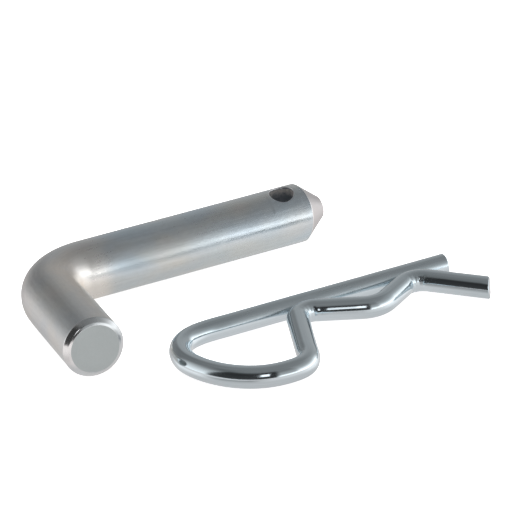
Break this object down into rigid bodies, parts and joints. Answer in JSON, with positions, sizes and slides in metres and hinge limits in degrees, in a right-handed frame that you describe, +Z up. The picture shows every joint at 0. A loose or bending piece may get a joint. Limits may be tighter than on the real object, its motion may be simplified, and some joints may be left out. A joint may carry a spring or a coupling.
{
  "type": "hitch pin with spring clip",
  "caption": "Bent round hitch pin with a pointed tip and a cross hole, and the spring-wire R-clip that locks it, laid down beside it.",
  "frame": {"origin": "centre of the cross hole, on the shaft's centreline", "axes": "+X along the shaft to its pointed tip, the bent leg runs along -Y, +Z up from the face both pieces lie on"},
  "size_m": [0.0869, 0.0677, 0.0127],
  "materials": {
    "pin_zinc": "satin zinc plate over drawn bar, fine lengthwise streaks, a warm tint at the bend",
    "clip_zinc": "bright zinc plate on spring wire, nearly mirror, faint blue-green tint"
  },
  "bodies": {
    "pin": {"bent_pin": "pin_zinc"},
    "clip": {"clip_straight_leg": "clip_zinc"},
    "spring_arm": {"clip_spring_arm": "clip_zinc"}
  },
  "joints": [
    {"name": "clip_draw", "type": "slide", "parent": "pin", "child": "clip", "axis": [1, 0, 0], "range_m": [0, 0.0266]},
    {"name": "arm_flex", "type": "hinge", "parent": "clip", "child": "spring_arm", "pos_m": [-0.03949, -0.0419, -0.00405], "axis": [0, 0, -1], "range_deg": [0, 5], "stiffness_Nm_per_rad": 6}
  ]
}
